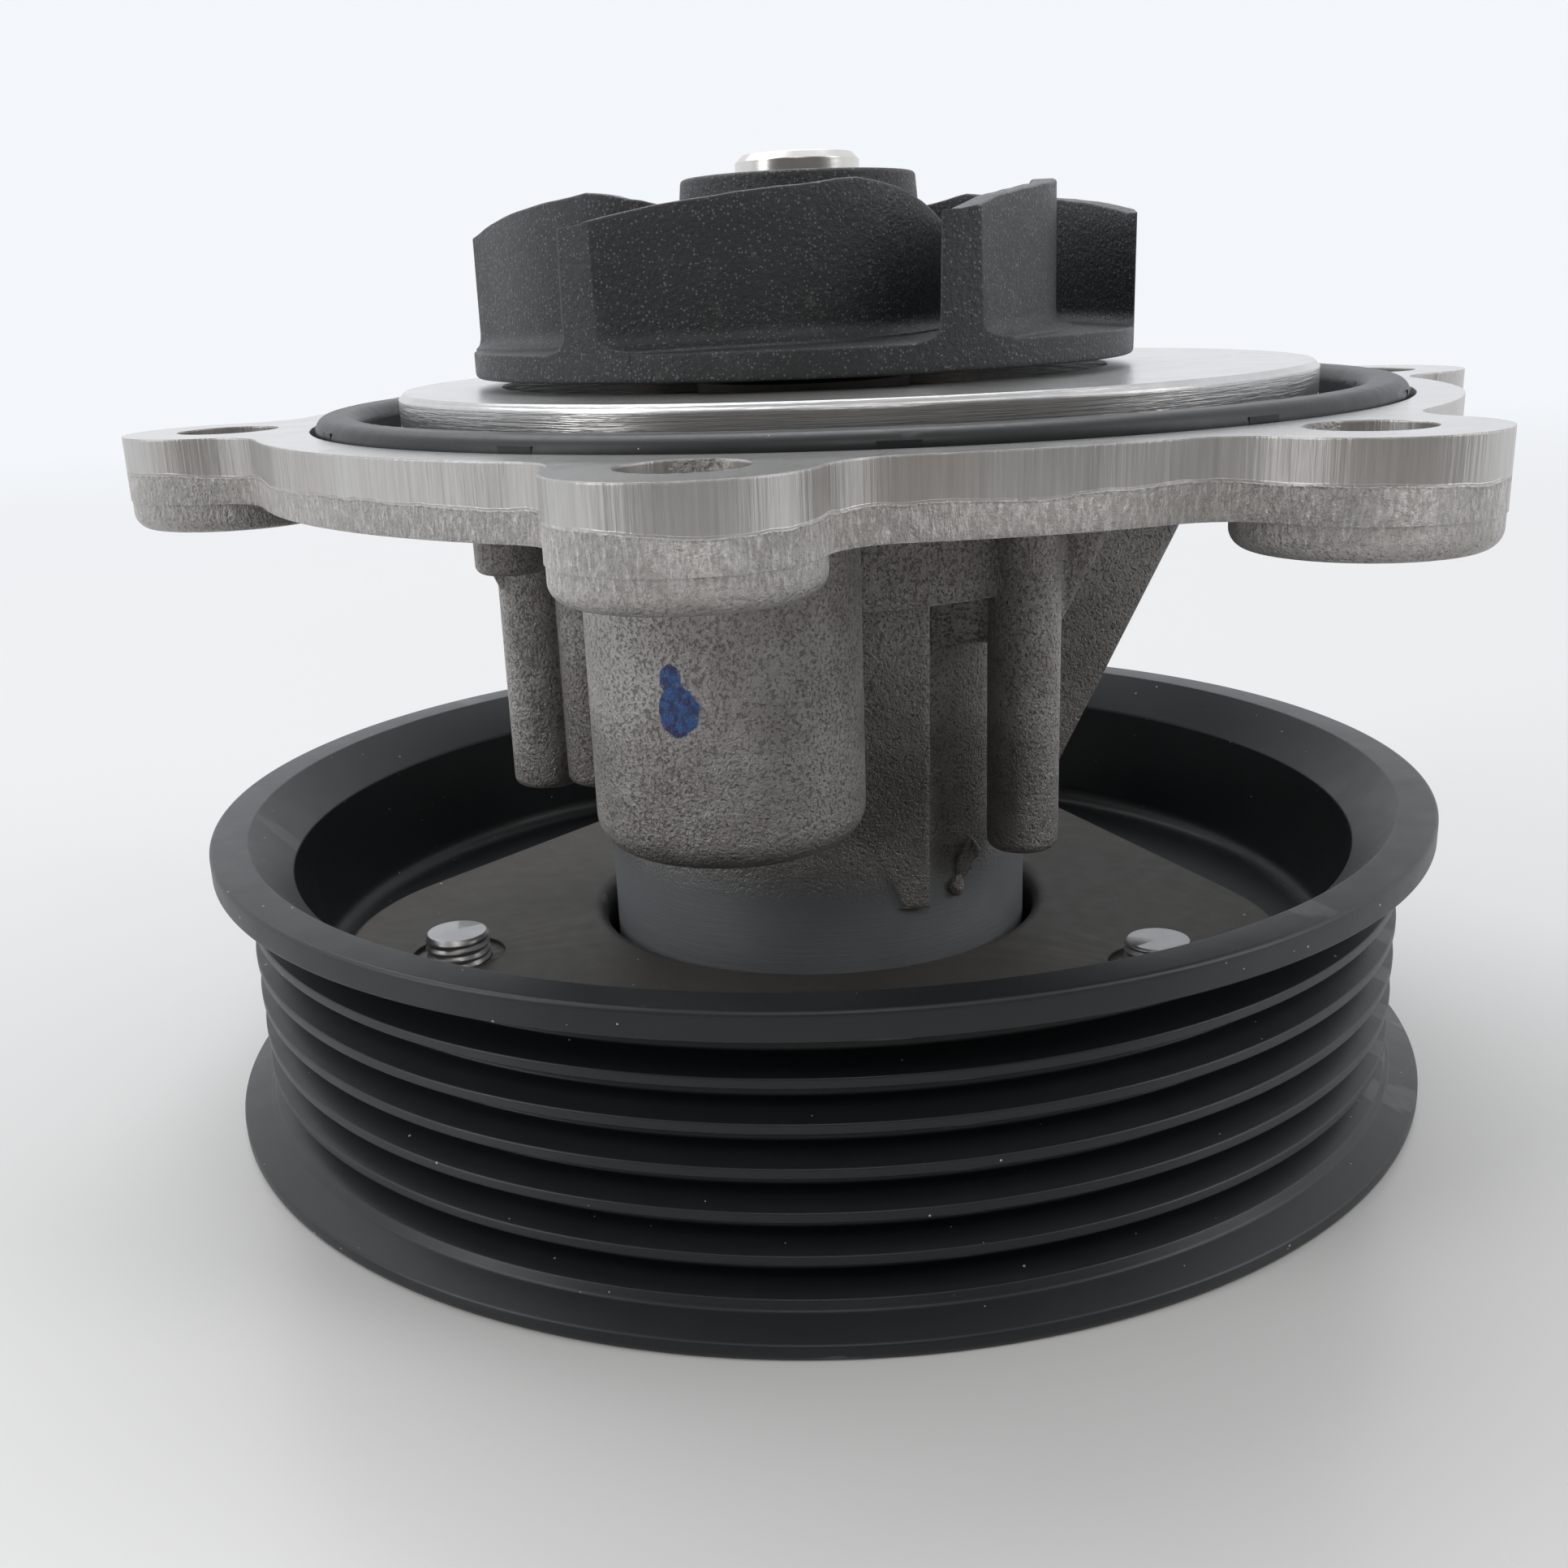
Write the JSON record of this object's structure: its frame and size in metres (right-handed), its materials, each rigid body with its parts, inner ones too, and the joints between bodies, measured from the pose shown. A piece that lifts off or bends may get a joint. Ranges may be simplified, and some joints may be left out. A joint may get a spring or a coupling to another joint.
{
  "type": "engine coolant pump",
  "caption": "Engine coolant pump with a lugged mounting flange, curved-vane impeller, sealed shaft bearing and multi-groove belt pulley.",
  "frame": {"origin": "point where the shaft's axis crosses the plane of the mounting face", "axes": "+Z along the shaft's axis, out of the pump into the engine; +X from the shaft's axis towards the centre of the mounting flange"},
  "size_m": [0.1268, 0.1243, 0.0843],
  "materials": {
    "cast_aluminium": "die cast, with a machined mounting face",
    "seal_rubber": "smooth black moulded rubber",
    "bearing_steel": "ground steel",
    "bearing_rubber": "moulded rubber",
    "seal_brass": "pressed brass",
    "bellows_rubber": "moulded rubber",
    "spring_steel": "spring wire",
    "carrier_steel": "pressed stainless steel",
    "carbon": "lapped carbon graphite",
    "shaft_steel": "ground steel",
    "seal_ceramic": "lapped ceramic",
    "impeller_plastic": "glass-filled moulded plastic",
    "hub_steel": "dark phosphated pressing",
    "pulley_steel": "satin black coating",
    "zinc_steel": "bright zinc plating",
    "cage_plastic": "moulded plastic"
  },
  "bodies": {
    "housing": {"pump_housing": "cast_aluminium", "flange_seal": "seal_rubber", "bearing_outer_ring": "bearing_steel", "bearing_seal_pulley_side": "bearing_rubber", "bearing_seal_impeller_side": "bearing_rubber", "seal_cup": "seal_brass", "seal_bellows": "bellows_rubber", "seal_spring": "spring_steel", "seal_carrier": "carrier_steel", "seal_carbon_ring": "carbon"},
    "rotor": {"shaft": "shaft_steel", "slinger": "bearing_rubber", "seal_seat": "seal_ceramic", "seal_seat_boot": "bellows_rubber", "impeller": "impeller_plastic", "impeller_insert": "seal_brass", "hub_flange": "hub_steel", "pulley": "pulley_steel", "pulley_screws": "zinc_steel"},
    "ball_row_pulley_side": {"balls_pulley_side": "bearing_steel", "ball_cage_pulley_side": "cage_plastic"},
    "ball_row_impeller_side": {"balls_impeller_side": "bearing_steel", "ball_cage_impeller_side": "cage_plastic"}
  },
  "joints": [
    {"name": "shaft_spin", "type": "hinge", "parent": "housing", "child": "rotor", "pos_m": [0, 0, 0], "axis": [0, 0, 1], "continuous": true},
    {"name": "ball_row_spin_pulley_side", "type": "hinge", "parent": "housing", "child": "ball_row_pulley_side", "pos_m": [0, 0, -0.0425], "axis": [0, 0, 1], "continuous": true},
    {"name": "ball_row_spin_impeller_side", "type": "hinge", "parent": "housing", "child": "ball_row_impeller_side", "pos_m": [0, 0, -0.0235], "axis": [0, 0, 1], "continuous": true}
  ],
  "couplings": [
    {"joint": "ball_row_spin_pulley_side", "follows": "shaft_spin", "ratio": 0.3625},
    {"joint": "ball_row_spin_impeller_side", "follows": "shaft_spin", "ratio": 0.3625}
  ]
}
